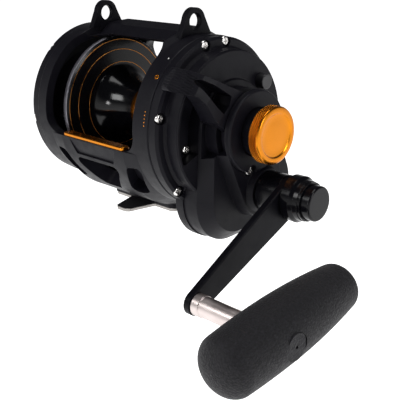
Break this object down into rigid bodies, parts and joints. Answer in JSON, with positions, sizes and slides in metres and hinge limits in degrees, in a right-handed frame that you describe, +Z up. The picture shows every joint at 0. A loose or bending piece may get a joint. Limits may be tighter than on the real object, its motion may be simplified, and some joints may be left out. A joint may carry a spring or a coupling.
{
  "type": "trolling reel",
  "caption": "Two-speed lever-drag trolling reel with open frame, flared spool, offset gear housing, drag lever, crank arm and T-shaped grip.",
  "frame": {"origin": "centre of the reel foot's underside, below the middle of the spool", "axes": "+X along the spool axis towards the handle side, +Y forward towards the rod tip, +Z up"},
  "size_m": [0.2722, 0.1859, 0.1798],
  "materials": {
    "graphite": "satin, fine grain",
    "black_anodised": "satin anodised",
    "gloss_black": "gloss anodised",
    "gold_anodised": "bright anodised, turned",
    "foot_metal": "black with bright edges",
    "steel": "stainless",
    "brass": "machined",
    "carbon": "woven carbon friction washer",
    "grip_rubber": "grained soft grip",
    "black_plastic": "satin"
  },
  "bodies": {
    "frame": {"frame": "graphite", "left_side_plate": "graphite", "right_side_plate": "graphite", "gear_housing": "graphite", "harness_lug_left": "black_anodised", "harness_lug_right": "black_anodised", "harness_lug_screws": "steel", "wear_bar": "gold_anodised", "wear_bar_screws": "gold_anodised", "reel_foot": "foot_metal", "foot_screws": "steel", "right_plate_screws": "steel", "left_plate_screws": "steel", "housing_screws": "steel", "drive_bearing": "steel", "gear_shaft_bush": "brass", "gear_shaft_bearing": "steel", "left_shaft_bush": "brass"},
    "drag_shaft": {"spool_shaft": "steel", "bearing_spacer": "brass", "drag_spring_washers": "steel"},
    "spool": {"spool": "gloss_black", "spool_bearing_left": "steel", "spool_bearing_right": "steel", "drag_washer": "carbon", "click_ratchet": "brass"},
    "drive": {"drive_plate": "steel", "anti_reverse_ratchet": "steel", "drive_sleeve": "steel", "high_pinion": "steel", "low_pinion": "steel"},
    "crank": {"gear_shaft": "steel", "shaft_collar": "gloss_black", "handle_arm": "black_anodised", "handle_hub": "gloss_black", "knob_stud": "steel", "high_main_gear": "steel"},
    "low_gear": {"low_main_gear": "steel"},
    "shifter": {"shift_button": "gloss_black", "shift_rod": "steel"},
    "grip": {"handle_grip": "grip_rubber", "grip_bushing": "brass", "grip_cap": "black_plastic"},
    "lever": {"drag_lever": "graphite", "drag_cam": "steel"},
    "preset": {"preset_collar": "black_anodised", "preset_knob": "gold_anodised"},
    "strike_stop": {"strike_button": "black_plastic"},
    "clicker": {"click_button": "black_plastic", "click_pawl": "steel"},
    "dog_1": {"anti_reverse_dog_1": "steel"},
    "dog_2": {"anti_reverse_dog_2": "steel"}
  },
  "joints": [
    {"name": "lever_swing", "type": "hinge", "parent": "frame", "child": "lever", "pos_m": [0.0926, 0, 0.0685], "axis": [1, 0, 0], "range_deg": [-69, 24]},
    {"name": "drag_slide", "type": "slide", "parent": "frame", "child": "drag_shaft", "axis": [1, 0, 0], "range_m": [-0.000167, 0.000481]},
    {"name": "spool_spin", "type": "hinge", "parent": "drag_shaft", "child": "spool", "pos_m": [0, 0, 0.0685], "axis": [1, 0, 0], "continuous": true},
    {"name": "drive_spin", "type": "hinge", "parent": "frame", "child": "drive", "pos_m": [0.055, 0, 0.0685], "axis": [1, 0, 0], "continuous": true},
    {"name": "crank_spin", "type": "hinge", "parent": "frame", "child": "crank", "pos_m": [0.11, 0.0084, 0.02684], "axis": [1, 0, 0], "continuous": true},
    {"name": "low_gear_spin", "type": "hinge", "parent": "frame", "child": "low_gear", "pos_m": [0.0785, 0.0084, 0.02684], "axis": [1, 0, 0], "continuous": true},
    {"name": "grip_spin", "type": "hinge", "parent": "crank", "child": "grip", "pos_m": [0.177, -0.0813, -0.0149], "axis": [1, 0, 0], "continuous": true},
    {"name": "shift_press", "type": "slide", "parent": "crank", "child": "shifter", "axis": [-1, 0, 0], "range_m": [0, 0.0035], "stiffness_N_per_m": 400, "springref_m": -0.002},
    {"name": "preset_turn", "type": "hinge", "parent": "lever", "child": "preset", "pos_m": [0.11, 0, 0.0685], "axis": [1, 0, 0], "range_deg": [-180, 180]},
    {"name": "strike_press", "type": "slide", "parent": "frame", "child": "strike_stop", "axis": [-1, 0, 0], "range_m": [0, 0.0036], "stiffness_N_per_m": 400, "springref_m": -0.002},
    {"name": "click_slide", "type": "slide", "parent": "frame", "child": "clicker", "axis": [0, 0.9397, 0.342], "range_m": [0, 0.005]},
    {"name": "dog_1_swing", "type": "hinge", "parent": "frame", "child": "dog_1", "pos_m": [0.0456, 0.02, 0.10314], "axis": [1, 0, 0], "range_deg": [0, 10], "stiffness_Nm_per_rad": 0.02, "springref_deg": -5.73},
    {"name": "dog_2_swing", "type": "hinge", "parent": "frame", "child": "dog_2", "pos_m": [0.0456, -0.03759, 0.08218], "axis": [1, 0, 0], "range_deg": [0, 10], "stiffness_Nm_per_rad": 0.02, "springref_deg": -5.73}
  ],
  "couplings": [
    {"joint": "drive_spin", "follows": "crank_spin", "ratio": -3.0476},
    {"joint": "spool_spin", "follows": "crank_spin", "ratio": -3.0476},
    {"joint": "low_gear_spin", "follows": "crank_spin", "ratio": 1.9341},
    {"joint": "lever_swing", "follows": "drag_slide", "rad_per_m": -2500}
  ]
}
